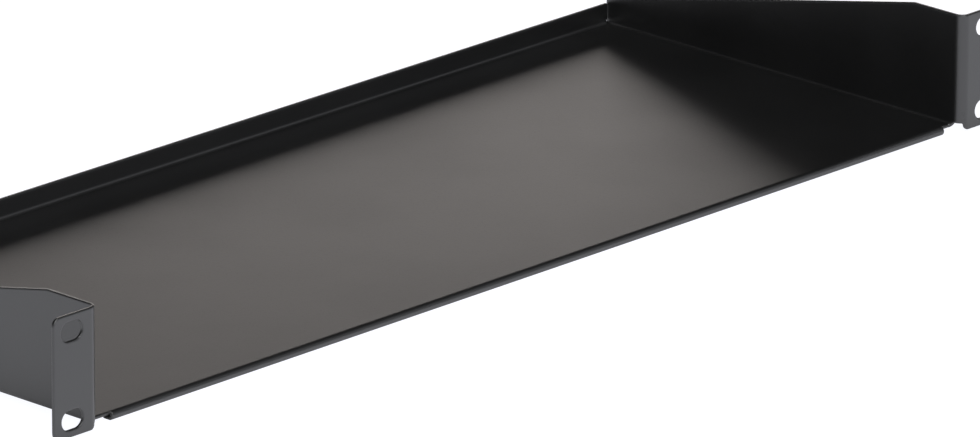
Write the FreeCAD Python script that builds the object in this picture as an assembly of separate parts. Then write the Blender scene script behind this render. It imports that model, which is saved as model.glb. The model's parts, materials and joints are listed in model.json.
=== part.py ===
import FreeCAD, Part
import os
from math import cos, radians, sin
from FreeCAD import Rotation, Vector

# One unit cantilever shelf for a 19 inch rack: a single sheet of steel, cut flat, notched and folded.
# X runs across the rack, Y runs from the front to the rear, Z is up.
# The origin is midway between the two ears, on the plane of their rear faces, at half their height.
# All sizes are in millimetres.

# Sheet
sheet = 1.2                 # thickness of the steel
bend_inside = 0.8           # inside radius of the bends between floor and walls

# Ears, to the 19 inch panel standard
rack_width = 482.6          # over both ears
ear_height = 44.0           # one rack unit less its clearance
ear_reach = 20.3            # outside face of the wall to the outer end of the ear
ear_corner = 3.0            # rounded outer corners
ear_bend_inside = 2.6       # inside radius of the bend between wall and ear
slot_inset = 8.75           # outer end of the ear to the middle of its slots
slot_rows = 31.75           # between the two slots of an ear
slot_length = 10.3          # end to end
slot_width = 7.1            # across its straight sides

# Body
body_depth = 176.5          # front faces of the ears to the rear face of the lip
floor_rise = 0.6            # underside of the floor above the lower ends of the ears

# Front notches, which part the ears from the floor
notch_overlap = 0.8         # side of the notch past the outside face of the wall
notch_step = 1.6            # wall's lower front end ahead of the plain front edge of the floor
notch_round = 1.0           # rounded upper corner beside the ear
toe_corner = 2.0            # rounded corner of the ear beside the notch

# Walls
wall_level = 24.0           # level part of the top, back from the front faces of the ears
wall_rear_height = 11.0     # above the underside of the floor
wall_corner = 2.0           # rounded upper rear corner

# Rear lip
lip_height = 9.0            # above the underside of the floor
lip_bend_inside = 1.4       # inside radius of the bend between floor and lip
lip_gap = 0.5               # between an end of the lip and the inside face of the wall
lip_corner = 0.5            # rounded upper corners
lip_slit = 0.5              # width of the slit that parts the lip's bend from the wall's

# Front hem, folded back under the floor
hem_setback = 4.3           # rounded nose behind the front faces of the ears
hem_inside = 0.45           # inside radius of the fold
hem_width = 4.5             # nose to free edge
hem_left_gap = 11.5         # outside face of the left wall to the end of the hem
hem_right_gap = 5.4         # the same at the right wall
edge_step = 1.1             # nose to the plain front edge at the ends of the hem

# Planes and lines that follow from them
front_face = -sheet
ear_top = ear_height / 2
ear_foot = -ear_height / 2
underside = ear_foot + floor_rise
floor_top = underside + sheet
bend_outside = bend_inside + sheet
bend_top = underside + bend_outside
wall_outside = rack_width / 2 - ear_reach
wall_inside = wall_outside - sheet
wall_bend_line = wall_outside - bend_outside
rear_face = front_face + body_depth
lip_bend_outside = lip_bend_inside + sheet
lip_bend_line = rear_face - lip_bend_outside
lip_bend_top = underside + lip_bend_outside
hem_outside = hem_inside + sheet
hem_nose = front_face + hem_setback
hem_bend_line = hem_nose + hem_outside
hem_left = -wall_outside + hem_left_gap
hem_right = wall_outside - hem_right_gap
front_edge = hem_nose + edge_step
wall_end = front_edge - notch_step
shortest_edge = 1e-6

# Sections and outlines are drawn in XY, then turned to stand as seen from the front or from the side.
from_above = Rotation()
from_front = Rotation(Vector(1, 0, 0), 90)
from_side = Rotation(Vector(1, 1, 1), 120)


def swung(point, centre, angle):
    """The point, swung about the centre by an angle in degrees."""
    return centre + Rotation(Vector(0, 0, 1), angle).multVec(point - centre)


def sheet_section(start, heading, steps):
    """The folded sheet seen on its edge, as a face in XY.

    The steps follow one skin, with the sheet on its right. A number is a straight run.
    A pair is a bend: its angle in degrees, positive to the left, and its inside radius.
    """
    here = Vector(*start)
    edges = []
    for step in steps:
        right = Vector(sin(radians(heading)), -cos(radians(heading)))
        skins = (here, here + right * sheet)
        if isinstance(step, tuple):
            angle, inside = step
            centre = skins[0] - right * inside if angle > 0 else skins[1] + right * inside
            paths = [[swung(point, centre, angle * part) for part in (0, 0.5, 1)] for point in skins]
            pieces = [Part.Arc(*path).toShape() for path in paths]
            heading += angle
        else:
            run = Vector(-right.y, right.x) * step
            paths = [[point, point + run] for point in skins]
            pieces = [Part.LineSegment(*path).toShape() for path in paths]
        if not edges:
            edges.append(Part.LineSegment(*skins).toShape())
        edges += pieces
        here = paths[0][-1]
    edges.append(Part.LineSegment(here, paths[1][-1]).toShape())
    return Part.Face(Part.Wire(Part.__sortEdges__(edges)))


def outline(corners):
    """A face in XY with the corners given as x, y and the radius that rounds them."""
    points = [Vector(x, y) for x, y, radius in corners]
    edges = []
    leaving = []
    arriving = []
    for i, (x, y, radius) in enumerate(corners):
        before = (points[i - 1] - points[i]).normalize()
        after = (points[(i + 1) % len(points)] - points[i]).normalize()
        half_angle = before.getAngle(after) / 2
        reach = radius * cos(half_angle) / sin(half_angle)
        arriving.append(points[i] + before * reach)
        leaving.append(points[i] + after * reach)
        if radius > 0:
            inward = (before + after).normalize()
            middle = points[i] + inward * (radius / sin(half_angle) - radius)
            edges.append(Part.Arc(arriving[i], middle, leaving[i]).toShape())
    for i in range(len(points)):
        if (arriving[i] - leaving[i - 1]).Length > shortest_edge:
            edges.append(Part.LineSegment(leaving[i - 1], arriving[i]).toShape())
    return Part.Face(Part.Wire(Part.__sortEdges__(edges)))


def extruded(face, rotation, start, end):
    """The face turned to its view, and extruded square to it between two places on that axis."""
    face.Placement = FreeCAD.Placement(Vector(), rotation)
    normal = rotation.multVec(Vector(0, 0, 1))
    axis = Vector(abs(round(normal.x)), abs(round(normal.y)), abs(round(normal.z)))
    face.translate(axis * start)
    return face.extrude(axis * (end - start))


def make_tray():
    """Floor and side walls: a channel trimmed to the side view, with its floor cut back for the lip and the hem."""
    square_bend = (-90, bend_inside)
    wall_run = ear_top - bend_top
    floor_run = 2 * wall_bend_line
    steps = [wall_run, square_bend, floor_run, square_bend, wall_run]
    channel = extruded(sheet_section((wall_outside, ear_top), -90, steps), from_front, wall_end, rear_face)
    side_view = outline([
        (wall_end, underside, 0),
        (rear_face, underside, 0),
        (rear_face, underside + wall_rear_height, wall_corner),
        (front_face + wall_level, ear_top, 0),
        (wall_end, ear_top, 0),
    ])
    tray = channel.common(extruded(side_view, from_side, -wall_outside, wall_outside))
    front_zone = outline([
        (-wall_inside, wall_end, 0),
        (wall_inside, wall_end, 0),
        (wall_bend_line, front_edge, 0),
        (-wall_bend_line, front_edge, 0),
    ])
    lip_zone = outline([
        (-wall_bend_line, lip_bend_line, 0),
        (wall_bend_line, lip_bend_line, 0),
        (wall_bend_line, rear_face, 0),
        (-wall_bend_line, rear_face, 0),
    ])
    hem_zone = outline([
        (hem_left, hem_nose, 0),
        (hem_right, hem_nose, 0),
        (hem_right, hem_bend_line, 0),
        (hem_left, hem_bend_line, 0),
    ])
    zones = [extruded(zone, from_above, underside, bend_top) for zone in (front_zone, lip_zone, hem_zone)]
    return tray.cut(zones)


def make_lip():
    """Rear lip, with its bend cut short of the walls' bends."""
    lip_run = lip_height - lip_bend_outside
    lip_end = wall_inside - lip_gap
    bend_end = wall_bend_line - lip_slit
    section = sheet_section((lip_bend_line, floor_top), 0, [(90, lip_bend_inside), lip_run])
    lip = extruded(section, from_side, -lip_end, lip_end)
    lip_top = underside + lip_height
    front_view = outline([
        (-bend_end, underside, 0),
        (bend_end, underside, 0),
        (bend_end, lip_bend_top, 0),
        (lip_end, lip_bend_top, 0),
        (lip_end, lip_top, lip_corner),
        (-lip_end, lip_top, lip_corner),
        (-lip_end, lip_bend_top, 0),
        (-bend_end, lip_bend_top, 0),
    ])
    return lip.common(extruded(front_view, from_front, lip_bend_line, rear_face))


def make_hem():
    """Front edge of the floor, folded back under it."""
    free_edge = (hem_nose + hem_width, floor_top - 2 * hem_outside)
    section = sheet_section(free_edge, 180, [hem_width - hem_outside, (-180, hem_inside), edge_step])
    return extruded(section, from_side, hem_left, hem_right)


def make_ear():
    """Right ear, with its bend and the front end of the wall, cut to the front view and slotted."""
    wall_run = front_edge - ear_bend_inside
    ear_run = rack_width / 2 - wall_outside - ear_bend_inside
    section = sheet_section((wall_outside, front_edge), -90, [wall_run, (90, ear_bend_inside), ear_run])
    ear = extruded(section, from_above, ear_foot, ear_top)
    front_view = outline([
        (wall_inside, bend_top, 0),
        (wall_outside + notch_overlap, bend_top, notch_round),
        (wall_outside + notch_overlap, ear_foot, toe_corner),
        (rack_width / 2, ear_foot, ear_corner),
        (rack_width / 2, ear_top, ear_corner),
        (wall_inside, ear_top, 0),
    ])
    ear = ear.common(extruded(front_view, from_front, front_face, front_edge))
    return ear.cut([make_slot(-slot_rows / 2), make_slot(slot_rows / 2)])


def make_slot(height):
    """Cutting shape of one mounting slot of the right ear, at a height."""
    middle = rack_width / 2 - slot_inset
    left = middle - slot_length / 2
    right = middle + slot_length / 2
    low = height - slot_width / 2
    high = height + slot_width / 2
    rounded = slot_width / 2
    shape = outline([(left, low, rounded), (right, low, rounded), (right, high, rounded), (left, high, rounded)])
    return extruded(shape, from_front, front_face, 0)


def make_shelf():
    """The whole folded sheet, as one solid."""
    ear = make_ear()
    other_ear = ear.mirror(Vector(), Vector(1, 0, 0))
    shelf = make_tray().fuse([make_lip(), make_hem(), ear, other_ear]).removeSplitter()
    slit_round = lip_slit / 2
    slit_ends = [Vector(side * (wall_bend_line - slit_round), lip_bend_line, underside) for side in (-1, 1)]
    shelf = shelf.cut([Part.makeCylinder(slit_round, sheet, end) for end in slit_ends])
    return shelf.Solids[0]


shelf = make_shelf()
os.makedirs("parts", exist_ok=True)
shelf.exportStep("parts/folded_shelf.step")
box = shelf.BoundBox
print("folded_shelf", shelf.isValid(), "volume", round(shelf.Volume, 1), "faces", len(shelf.Faces))
print("size", round(box.XLength, 3), round(box.YLength, 3), round(box.ZLength, 3))
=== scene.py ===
import json
from math import acos, cos, pi, radians, sin, tan

import bmesh
import bpy
from mathutils import Matrix, Vector
from mathutils.geometry import delaunay_2d_cdt


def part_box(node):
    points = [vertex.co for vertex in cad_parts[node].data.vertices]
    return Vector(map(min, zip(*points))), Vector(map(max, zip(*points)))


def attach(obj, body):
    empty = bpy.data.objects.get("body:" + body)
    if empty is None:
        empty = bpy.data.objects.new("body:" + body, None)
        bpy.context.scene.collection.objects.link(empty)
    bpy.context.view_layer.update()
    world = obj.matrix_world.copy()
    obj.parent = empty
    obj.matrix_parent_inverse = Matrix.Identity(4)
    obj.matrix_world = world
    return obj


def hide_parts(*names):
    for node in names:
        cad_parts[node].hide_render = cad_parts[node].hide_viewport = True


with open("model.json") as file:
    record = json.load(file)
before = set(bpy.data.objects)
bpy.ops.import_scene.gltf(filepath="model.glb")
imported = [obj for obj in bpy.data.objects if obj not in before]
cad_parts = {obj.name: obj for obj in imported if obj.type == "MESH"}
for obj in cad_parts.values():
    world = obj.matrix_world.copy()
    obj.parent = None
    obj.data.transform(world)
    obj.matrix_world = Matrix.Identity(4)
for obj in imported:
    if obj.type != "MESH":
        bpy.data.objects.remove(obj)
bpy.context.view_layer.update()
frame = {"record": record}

scene = bpy.context.scene
mm = 0.001  # the shelf is drawn in millimetres and shown in metres

# The shelf is one flat blank of steel: notched, slotted, then folded.

steel = {
    "sheet": 1.2,           # thickness
    "bendInside": 0.8,      # inside radius of the bends between floor and walls
    "bendSteps": 12,        # facets round a square bend
    "arcSteps": 12,         # facets round a quarter of a cut corner
    "edgeRound": 0.2,       # cut edges, softened by the paint
    "edgeSteps": 3,
    "edgeAngle": 40,        # sharper turns than this are edges, in degrees
    "flatWeight": 80,       # how firmly flat faces keep their own shading
    "margin": 0.5,          # row of small faces over the notch, so that the bend shades evenly
    "nearest": 0.001,       # points closer than this are one
}

ear = {
    "reach": 20.3,          # outside of the wall to the outer end
    "corner": 3.0,
    "bendInside": 2.6,
    "toeCorner": 1.9,       # beside the front notch
    "notchOverlap": 0.8,    # how far the notch runs past the outside of the wall
    "notchStep": 1.6,       # the wall's lower front end ahead of the plain front edge
    "notchRound": 1.0,
}

wall = {
    "level": 24.0,          # level part of the top, from the front of the ears
    "rearHeight": 11.0,     # from the underside of the floor
    "corner": 2.0,
}

lip = {
    "height": 9.0,          # from the underside of the floor
    "bendInside": 1.4,
    "gap": 0.5,             # from its end to the wall
    "slit": 0.35,           # parts its bend from the wall's, narrowed by the paint
    "corner": 0.5,
}

hem = {
    "setback": 4.3,         # its nose behind the front of the ears
    "inside": 0.45,         # inside radius of the fold
    "width": 4.5,           # nose to free edge
    "leftGap": 11.5,        # its left end to the outside of the wall
    "rightGap": 5.4,
    "edgeStep": 1.1,        # its nose to the plain front edge beside it
    "relief": 0.25,         # hairline slit between the two
    "steps": 20,
}

low, high = [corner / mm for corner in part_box("folded_shelf")]
mounts = {mount["name"]: mount for mount in frame["record"]["mounts"]}
slots = mounts["rack_screws"]["dims"]

# Planes and fold lines. The painted inside is the floor's top, the walls' inside and the ears' front.
sheet = steel["sheet"]
bendMiddle = steel["bendInside"] + sheet / 2
bendOutside = steel["bendInside"] + sheet
bendRun = bendMiddle * pi / 2                       # blank that the bend takes up
earMiddle = ear["bendInside"] + sheet / 2
earOutside = ear["bendInside"] + sheet
earRun = earMiddle * pi / 2
lipMiddle = lip["bendInside"] + sheet / 2
lipOutside = lip["bendInside"] + sheet
lipRun = lipMiddle * pi / 2
floorTop = mounts["shelf_floor"]["pos_m"][2] / mm
underside = floorTop - sheet
bendTop = underside + bendOutside
wallInside = high.x - ear["reach"] - sheet
wallLine = wallInside - steel["bendInside"]
lipLine = high.y - lipOutside
lipFoot = lipLine + lipRun                          # blank where the lip stands upright
earLine = low.y + earOutside
earFlat = wallInside + earOutside
hemOutside = hem["inside"] + sheet
hemMiddle = hem["inside"] + sheet / 2
hemLine = low.y + hem["setback"] + hemOutside
hemEnds = {-1: wallInside + sheet - hem["leftGap"], 1: wallInside + sheet - hem["rightGap"]}
frontEdge = low.y + hem["setback"] + hem["edgeStep"]
wallEnd = frontEdge - ear["notchStep"]
slitMiddle = wallLine - lip["slit"] / 2


def acrossBlank(height):  # place across the blank of a height on the wall
    return wallLine + bendRun + height - bendTop


def earBlank(x):  # place along the blank of a place on the ear
    return earLine - earRun - (x - earFlat)


def lipBlank(height):
    return lipFoot + height - underside - lipOutside


def roundedPath(corners):  # each corner is u, v and the radius that rounds it
    path = []
    for i, (u, v, radius) in enumerate(corners):
        here = Vector((u, v))
        if radius == 0:
            path.append(here)
            continue
        before = (Vector(corners[i - 1][:2]) - here).normalized()
        after = (Vector(corners[(i + 1) % len(corners)][:2]) - here).normalized()
        half = before.angle(after) / 2
        centre = here + (before + after).normalized() * radius / sin(half)
        start = here + before * radius / tan(half) - centre
        turn = start.angle_signed(here + after * radius / tan(half) - centre)
        steps = max(2, round(steel["arcSteps"] * abs(turn) / (pi / 2)))
        for step in range(steps + 1):
            point = centre + Matrix.Rotation(-turn * step / steps, 2) @ start
            if not path or (point - path[-1]).length > steel["nearest"]:
                path.append(point)
    return path


def halfOutline(hemEnd):  # from the hem round the ear and the wall to the lip; u is across, v along
    toe = earLine - acos((earOutside - sheet - ear["notchOverlap"]) / earOutside) * earMiddle
    hemFree = hemLine - hemMiddle * pi - (hem["width"] - hemOutside)
    lipEnd = wallInside - lip["gap"]
    slitRound = lip["slit"] / 2
    return [
        (hemEnd, hemFree, 0),
        (hemEnd, hemLine, 0),
        (hemEnd + hem["relief"], hemLine, 0),
        (hemEnd + hem["relief"], frontEdge, 0),
        (wallLine, frontEdge, 0),
        (acrossBlank(bendTop), wallEnd, ear["notchRound"]),
        (acrossBlank(bendTop), toe, ear["notchRound"]),
        (acrossBlank(-high.z), toe, ear["toeCorner"]),
        (acrossBlank(-high.z), earBlank(high.x), ear["corner"]),
        (acrossBlank(high.z), earBlank(high.x), ear["corner"]),
        (acrossBlank(high.z), low.y + wall["level"], 0),
        (acrossBlank(underside + wall["rearHeight"]), high.y, wall["corner"]),
        (wallLine, high.y, 0),
        (wallLine, lipLine - slitRound, slitRound),
        (wallLine - lip["slit"], lipLine - slitRound, slitRound),
        (wallLine - lip["slit"], lipFoot, 0),
        (lipEnd, lipFoot, 0),
        (lipEnd, lipBlank(underside + lip["height"]), lip["corner"]),
    ]


def blankOutline():
    leftHalf = [(-u, v, radius) for u, v, radius in reversed(halfOutline(hemEnds[-1]))]
    return roundedPath(halfOutline(hemEnds[1]) + leftHalf)


def slotOutline(side, height):
    u = side * acrossBlank(height)
    v = earBlank(slots["spacing_x_mm"] / 2)
    long = slots["slot_length_mm"] / 2
    wide = slots["hole_r_mm"]
    return roundedPath([(u - wide, v - long, wide), (u + wide, v - long, wide),
                        (u + wide, v + long, wide), (u - wide, v + long, wide)])


def bendLines():  # the blank is divided along every bend
    spare = 0.05  # each line runs this far past the outline
    lines = []
    for step in range(steel["bendSteps"] + 1):
        v = lipLine + lipRun * step / steel["bendSteps"]
        lipWidth = wallLine - lip["slit"] + spare
        lines.append(((-lipWidth, v), (lipWidth, v)))
        for side in (-1, 1):
            u = side * (wallLine + bendRun * step / steel["bendSteps"])
            lines.append(((u, wallEnd - spare), (u, high.y + spare)))
            v = earLine - earRun * step / steel["bendSteps"]
            lines.append(((side * acrossBlank(-high.z - spare), v), (side * acrossBlank(high.z + spare), v)))
    for side in (-1, 1):
        u = side * acrossBlank(bendTop + steel["margin"])
        lines.append(((u, wallEnd + spare), (u, earLine - earRun - spare)))
    for step in range(hem["steps"] + 1):
        v = hemLine - hemMiddle * pi * step / hem["steps"]
        lines.append(((-hemEnds[-1] - spare, v), (hemEnds[1] + spare, v)))
    return lines


def dividedBlank():
    points = []
    loops = []
    outlines = [blankOutline()]
    for side in (-1, 1):
        for height in (-slots["spacing_y_mm"] / 2, slots["spacing_y_mm"] / 2):
            outlines.append(slotOutline(side, height))
    for path in outlines:
        loops.append(list(range(len(points), len(points) + len(path))))
        points += path
    edges = []
    for start, end in bendLines():
        edges.append((len(points), len(points) + 1))
        points += [Vector(start), Vector(end)]
    withHoles = 4
    places, _, faces, _, _, owners = delaunay_2d_cdt(points, edges, loops, withHoles, steel["nearest"] / 2)
    return places, [face for face, owner in zip(faces, owners) if owner == [0]]


def bend(run, radius, middle, angle):  # how far a skin goes ahead and aside in a bend and past it
    turn = min(max(run / middle, 0), angle)  # the run is measured along the middle of the sheet
    rest = run - turn * middle
    return radius * sin(turn) + rest * cos(turn), radius * (1 - cos(turn)) + rest * sin(turn)


def folded(place, depth):  # depth is 0 at the painted inside and one sheet at the other skin
    across, v = abs(place.x), place.y
    side = 1 if place.x > 0 else -1
    if v < earLine and across > hemEnds[side] + hem["relief"] * 2:      # front of the wall, and the ear
        ahead, out = bend(earLine - v, earOutside - depth, earMiddle, pi / 2)
        x, y, z = wallInside + depth + out, earLine - ahead, bendTop + across - acrossBlank(bendTop)
    elif v > lipLine and (across < slitMiddle or v > (high.y + lipFoot) / 2):       # lip
        ahead, rise = bend(v - lipLine, lip["bendInside"] + depth, lipMiddle, pi / 2)
        x, y, z = across, lipLine + ahead, floorTop - depth + rise
    elif v < hemLine and across < hemEnds[side] + hem["relief"] / 2:    # hem
        ahead, drop = bend(hemLine - v, hemOutside - depth, hemMiddle, pi)
        x, y, z = across, hemLine - ahead, floorTop - depth - drop
    else:       # floor and wall
        ahead, rise = bend(across - wallLine, steel["bendInside"] + depth, bendMiddle, pi / 2)
        x, y, z = wallLine + ahead, v, floorTop - depth + rise
    return Vector((side * x, y, z)) * mm


def foldedMesh():  # both skins of the blank, and the rim between them
    places, faces = dividedBlank()
    mesh = bpy.data.meshes.new("paintedShelf")
    form = bmesh.new()
    inside = [form.verts.new(folded(place, 0)) for place in places]
    outside = [form.verts.new(folded(place, sheet)) for place in places]
    borders = {(face[i - 1], face[i]) for face in faces for i in range(len(face))}
    for face in faces:
        form.faces.new([inside[i] for i in face])
        form.faces.new([outside[i] for i in reversed(face)])
    for start, end in borders:
        if (end, start) not in borders:
            form.faces.new([inside[start], outside[start], outside[end], inside[end]])
    bmesh.ops.delete(form, geom=[vert for vert in form.verts if not vert.link_faces], context="VERTS")
    for face in form.faces:
        face.smooth = True
    form.to_mesh(mesh)
    form.free()
    return mesh


def makeShelf(material):
    mesh = foldedMesh()
    mesh.materials.append(material)
    shelf = bpy.data.objects.new("paintedShelf", mesh)
    scene.collection.objects.link(shelf)
    softened = shelf.modifiers.new("softened edges", "BEVEL")
    softened.width = steel["edgeRound"] * mm
    softened.segments = steel["edgeSteps"]
    softened.limit_method = "ANGLE"
    softened.angle_limit = radians(steel["edgeAngle"])
    softened.use_clamp_overlap = False
    flats = shelf.modifiers.new("flat faces stay flat", "WEIGHTED_NORMAL")
    flats.weight = steel["flatWeight"]
    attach(shelf, "root")
    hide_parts("folded_shelf")
    return shelf


# Black powder coat

paint = {  # sizes in metres
    "colour": (0.0052, 0.0052, 0.0054, 1),
    "cloudShade": (0.85, 1.15),                 # share of the colour between the clouds and in them
    "thinEdgeHighlightColour": (0.016, 0.016, 0.0165, 1),    # where the coat is thin along the edges, and a painted edge highlight there
    "dustColour": (0.05, 0.048, 0.045, 1),
    "dust": 0.08,
    "roughness": (0.353, 0.377),                # between the clouds and in them
    "rubbed": -0.05,        # change of the roughness along the thin edges
    "flecked": 0.05,        # and in the flecks
    "ior": 1.85,
    "softEdge": 0.0011,     # the coat runs round every edge
    "peelSize": 0.0009,
    "peelDepth": 0.000006,
    "dentSize": 0.07,       # the sheet itself is never quite flat
    "dentDepth": 0.00003,
    "cloudSize": 0.05,
    "fleckSize": 0.0004,
}


def put(tree, kind, inputs=None, **settings):  # a node with its settings, and its inputs linked or set
    node = tree.nodes.new(kind)
    for name, value in settings.items():
        setattr(node, name, value)
    for key, value in (inputs or {}).items():
        if isinstance(value, bpy.types.NodeSocket):
            tree.links.new(value, node.inputs[key])
        else:
            node.inputs[key].default_value = value
    return node


def newGroup(name, inputs, outputs):
    tree = bpy.data.node_groups.new(name, "ShaderNodeTree")
    for socket, value in inputs.items():
        tree.interface.new_socket(socket, in_out="INPUT", socket_type="NodeSocketFloat").default_value = value
    for socket, kind in outputs.items():
        tree.interface.new_socket(socket, in_out="OUTPUT", socket_type=kind)
    return tree, tree.nodes.new("NodeGroupInput").outputs, tree.nodes.new("NodeGroupOutput").inputs


def grey(value):
    return (value, value, value, 1)


def maths(tree, operation, first, second):
    return put(tree, "ShaderNodeMath", {0: first, 1: second}, operation=operation).outputs[0]


def mixed(tree, share, first, second):  # two colours, with this share of the second
    return put(tree, "ShaderNodeMix", {0: share, 6: first, 7: second}, data_type="RGBA").outputs[2]


def noise(tree, size, detail=2.0, roughness=0.5):
    place = put(tree, "ShaderNodeTexCoord").outputs["Object"]
    scale = maths(tree, "DIVIDE", 1.0, size)
    inputs = {"Vector": place, "Scale": scale, "Detail": detail, "Roughness": roughness}
    return put(tree, "ShaderNodeTexNoise", inputs).outputs[0]


def spread(tree, value, least, most, start=0.0, end=1.0):  # the part of a value between two levels, stretched
    inputs = {"Value": value, "From Min": least, "From Max": most, "To Min": start, "To Max": end}
    return put(tree, "ShaderNodeMapRange", inputs, interpolation_type="SMOOTHSTEP").outputs[0]


def surfaceGroup():  # height of the coat: orange peel over a sheet that is never quite flat
    tree, given, result = newGroup("coatSurface", {"Peel Size": 0.001, "Dent Size": 0.1},
                                   {"Peel": "NodeSocketFloat", "Dents": "NodeSocketFloat"})
    fine = noise(tree, given["Peel Size"], detail=1.0)
    tree.links.new(spread(tree, fine, 0.25, 0.75), result["Peel"])
    tree.links.new(noise(tree, given["Dent Size"], detail=0.0), result["Dents"])
    return tree


def edgeGroup():  # normals that run round the edges, and a broken mask along them for the thin coat and a painted edge highlight
    tree, given, result = newGroup("coatEdges", {"Reach": 0.001},
                                   {"Normal": "NodeSocketVector", "Thin Coat And Highlight": "NodeSocketFloat"})
    soft = put(tree, "ShaderNodeBevel", {"Radius": given["Reach"]}, samples=8).outputs[0]
    face = put(tree, "ShaderNodeNewGeometry").outputs["Normal"]
    match = put(tree, "ShaderNodeVectorMath", {0: soft, 1: face}, operation="DOT_PRODUCT").outputs["Value"]
    edge = spread(tree, match, 0.9, 0.6)
    broken = spread(tree, noise(tree, 0.003, detail=3.0, roughness=0.65), 0.4, 0.7)
    tree.links.new(soft, result["Normal"])
    tree.links.new(maths(tree, "MULTIPLY", edge, broken), result["Thin Coat And Highlight"])
    return tree


def driftGroup():  # slow clouds and small flecks in the coat, and dust on what faces up
    outputs = {"Cloud": "NodeSocketFloat", "Fleck": "NodeSocketFloat", "Dust": "NodeSocketFloat"}
    tree, given, result = newGroup("coatDrift", {"Cloud Size": 0.05, "Fleck Size": 0.0005}, outputs)
    cloud = noise(tree, given["Cloud Size"], detail=3.0)
    fleck = noise(tree, given["Fleck Size"], detail=0.0)
    face = put(tree, "ShaderNodeNewGeometry").outputs["Normal"]
    upward = spread(tree, put(tree, "ShaderNodeSeparateXYZ", {0: face}).outputs["Z"], 0.5, 1.0)
    grains = spread(tree, noise(tree, 0.0012, detail=4.0, roughness=0.7), 0.5, 0.75)
    patches = spread(tree, cloud, 0.35, 0.7, 0.3, 1.0)
    lying = maths(tree, "MULTIPLY", upward, grains)
    tree.links.new(spread(tree, cloud, 0.3, 0.7), result["Cloud"])
    tree.links.new(spread(tree, fleck, 0.6, 0.8), result["Fleck"])
    tree.links.new(maths(tree, "MULTIPLY", lying, patches), result["Dust"])
    return tree


def powderCoat():
    material = bpy.data.materials.new("powderCoat")
    material.use_nodes = True
    tree = material.node_tree
    shader = tree.nodes["Principled BSDF"]
    shader.inputs["IOR"].default_value = paint["ior"]
    surface = put(tree, "ShaderNodeGroup", node_tree=surfaceGroup())
    surface.inputs["Peel Size"].default_value = paint["peelSize"]
    surface.inputs["Dent Size"].default_value = paint["dentSize"]
    edges = put(tree, "ShaderNodeGroup", node_tree=edgeGroup())
    edges.inputs["Reach"].default_value = paint["softEdge"]
    drift = put(tree, "ShaderNodeGroup", node_tree=driftGroup())
    drift.inputs["Cloud Size"].default_value = paint["cloudSize"]
    drift.inputs["Fleck Size"].default_value = paint["fleckSize"]

    shade = spread(tree, drift.outputs["Cloud"], 0.0, 1.0, *paint["cloudShade"])
    cloudy = put(tree, "ShaderNodeVectorMath", {0: paint["colour"][:3], "Scale": shade}, operation="SCALE")
    # lighter along the edges: partly thin coat, partly a painted highlight
    wornAndHighlit = mixed(tree, edges.outputs["Thin Coat And Highlight"], cloudy.outputs[0], paint["thinEdgeHighlightColour"])
    amount = maths(tree, "MULTIPLY", drift.outputs["Dust"], paint["dust"])
    tree.links.new(mixed(tree, amount, wornAndHighlit, paint["dustColour"]), shader.inputs["Base Color"])

    clouded = spread(tree, drift.outputs["Cloud"], 0.0, 1.0, *paint["roughness"])
    rubbed = spread(tree, edges.outputs["Thin Coat And Highlight"], 0.0, 1.0, 0.0, paint["rubbed"])
    flecked = spread(tree, drift.outputs["Fleck"], 0.0, 1.0, 0.0, paint["flecked"])
    rough = maths(tree, "ADD", maths(tree, "ADD", clouded, rubbed), flecked)
    tree.links.new(rough, shader.inputs["Roughness"])

    dents = put(tree, "ShaderNodeBump", {"Height": surface.outputs["Dents"], "Distance": paint["dentDepth"],
                                         "Normal": edges.outputs["Normal"]})
    peel = put(tree, "ShaderNodeBump", {"Height": surface.outputs["Peel"], "Distance": paint["peelDepth"],
                                        "Normal": dents.outputs[0]})
    tree.links.new(peel.outputs[0], shader.inputs["Normal"])
    return material


# Studio

studio = {
    "floorSize": 30.0,
    "floorGrey": 0.85,
    "glow": (0.93, 0.94, 1.0, 1),       # the white that the floor shows, a little cool
    "glowStrength": 1.26,
    "glowShare": 0.9,                   # the rest of the floor is matt and takes the shadow
    "seenShare": 0.92,                  # seen straight, the glow is a little weaker than in the paint
    "coveredReach": 0.12,               # how near the shelf the floor's glow fades in the paint
    "coveredGlow": 0.15,                # share of the glow that is left under the shelf
    "rearGlow": 0.84,                   # share that is left beside and behind it
    "rearFade": (-0.02, 0.04),          # from where to where along the depth that fade runs
    "roomGrey": 0.018,
    "middle": (0, 0.087, -0.02),        # what the lamps are turned to
}

# Lamps stand turned round from straight behind the shelf to its right, and then raised. Sizes are in metres.
lamps = {
    "behindRight": {"turn": 47, "rise": 7.8, "distance": 1.5, "size": (1.2, 0.39),
                    "brightness": 2.7, "tint": (1.0, 0.938, 0.905)},
    "frontRight": {"turn": 130, "rise": 19, "distance": 1.6, "size": (1.0, 0.9),
                   "brightness": 0.52, "tint": (0.93, 0.95, 1.0)},
    "frontLeft": {"turn": 200, "rise": 35, "distance": 1.8, "size": (1.2, 1.0),
                  "brightness": 4.4, "tint": (0.95, 0.97, 1.0)},
    "left": {"turn": 285, "rise": 22, "distance": 1.8, "size": (1.0, 0.8),
             "brightness": 0.65, "tint": (0.97, 0.98, 1.0)},
    "overhead": {"turn": 226, "rise": 70, "distance": 2.0, "size": (2.0, 2.0),
                 "brightness": 1.25, "tint": (1.0, 1.0, 1.0)},
}

camera = {
    "aim": (0.0265, 0.0509),    # on the shelf's floor
    "distance": 4.364,
    "azimuth": 46.455,          # round to the left of the front
    "elevation": 18.95,
    "roll": 0.226,
    "lens": 451.3,
    "sensor": 36,
    "farthest": 100,
}


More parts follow.
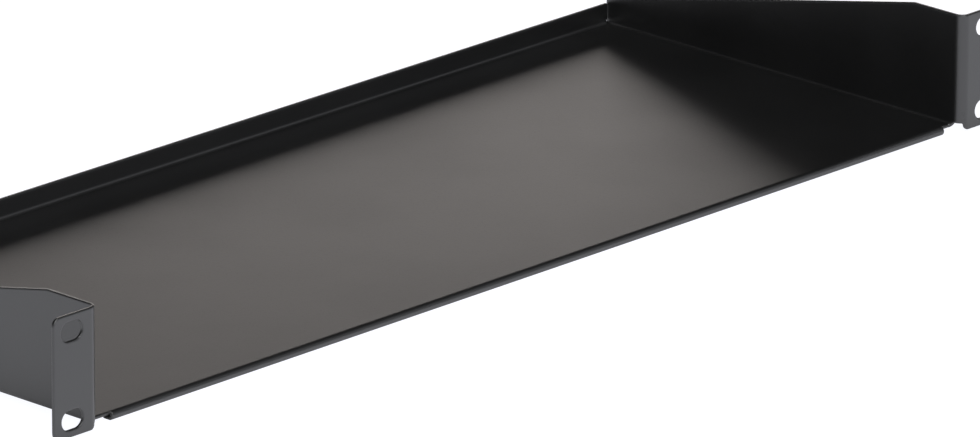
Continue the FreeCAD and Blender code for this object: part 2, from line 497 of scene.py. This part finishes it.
def makeFloor():
    half = studio["floorSize"] / 2
    mesh = bpy.data.meshes.new("studioFloor")
    corners = [(-half, -half), (half, -half), (half, half), (-half, half)]
    mesh.from_pydata([(x, y, low.z * mm) for x, y in corners], [], [(0, 1, 2, 3)])
    floor = bpy.data.objects.new("studioFloor", mesh)
    scene.collection.objects.link(floor)
    material = bpy.data.materials.new("studioFloor")
    material.use_nodes = True
    tree = material.node_tree
    tree.nodes.clear()
    rays = put(tree, "ShaderNodeLightPath").outputs
    place = put(tree, "ShaderNodeTexCoord").outputs["Object"]
    depth = put(tree, "ShaderNodeSeparateXYZ", {0: place}).outputs["Y"]
    beside = spread(tree, depth, *studio["rearFade"], 1.0, studio["rearGlow"])
    covered = put(tree, "ShaderNodeAmbientOcclusion", {"Distance": studio["coveredReach"]}).outputs["AO"]
    near = spread(tree, covered, 0.2, 1.0, studio["coveredGlow"], 1.0)
    reflected = maths(tree, "MULTIPLY", rays["Is Glossy Ray"], maths(tree, "MULTIPLY", near, beside))
    straight = maths(tree, "MAXIMUM", rays["Is Camera Ray"], rays["Is Transmission Ray"])
    seen = maths(tree, "MULTIPLY", straight, studio["seenShare"])
    share = maths(tree, "MULTIPLY", maths(tree, "MAXIMUM", reflected, seen), studio["glowShare"])
    matt = put(tree, "ShaderNodeBsdfDiffuse", {"Color": grey(studio["floorGrey"])}).outputs[0]
    glow = put(tree, "ShaderNodeEmission", {"Color": studio["glow"], "Strength": studio["glowStrength"]})
    top = put(tree, "ShaderNodeMixShader", {0: share, 1: matt, 2: glow.outputs[0]}).outputs[0]
    clear = put(tree, "ShaderNodeBsdfTransparent").outputs[0]
    below = put(tree, "ShaderNodeNewGeometry").outputs["Backfacing"]    # so the underside can be looked at
    whole = put(tree, "ShaderNodeMixShader", {0: below, 1: top, 2: clear}).outputs[0]
    put(tree, "ShaderNodeOutputMaterial", {"Surface": whole})
    mesh.materials.append(material)


def makeLight():
    room = bpy.data.worlds.new("studio")
    room.use_nodes = True
    room.node_tree.nodes["Background"].inputs["Color"].default_value = grey(studio["roomGrey"])
    scene.world = room
    for name, values in lamps.items():
        lamp = bpy.data.lights.new(name, "AREA")
        lamp.shape = "RECTANGLE"
        lamp.size, lamp.size_y = values["size"]
        lamp.color = values["tint"]
        lamp.energy = values["brightness"] * pi * lamp.size * lamp.size_y
        holder = bpy.data.objects.new(name, lamp)
        turn, rise = radians(values["turn"]), radians(values["rise"])
        away = Vector((sin(turn) * cos(rise), cos(turn) * cos(rise), sin(rise)))
        holder.location = Vector(studio["middle"]) + away * values["distance"]
        holder.rotation_euler = away.to_track_quat("Z", "Y").to_euler()
        holder.visible_camera = False
        scene.collection.objects.link(holder)


def makeCamera():
    data = bpy.data.cameras.new("camera")
    data.lens = camera["lens"]
    data.sensor_width = camera["sensor"]
    data.clip_end = camera["farthest"]
    holder = bpy.data.objects.new("camera", data)
    turn = Matrix.Rotation(-radians(camera["azimuth"]), 4, "Z")
    tilt = Matrix.Rotation(radians(90 - camera["elevation"]), 4, "X")
    roll = Matrix.Rotation(radians(camera["roll"]), 4, "Z")
    facing = turn @ tilt @ roll
    aim = Vector((*camera["aim"], floorTop * mm))
    back = facing.to_3x3() @ Vector((0, 0, camera["distance"]))
    holder.matrix_world = Matrix.Translation(aim + back) @ facing
    scene.collection.objects.link(holder)
    scene.camera = holder


scene.view_settings.view_transform = "Standard"
coat = powderCoat()
print("coat mixed")
shelf = makeShelf(coat)
print("shelf folded from", len(shelf.data.polygons), "faces")
makeFloor()
print("floor laid")
makeLight()
print("lamps hung:", len(lamps))
makeCamera()
print("camera set")
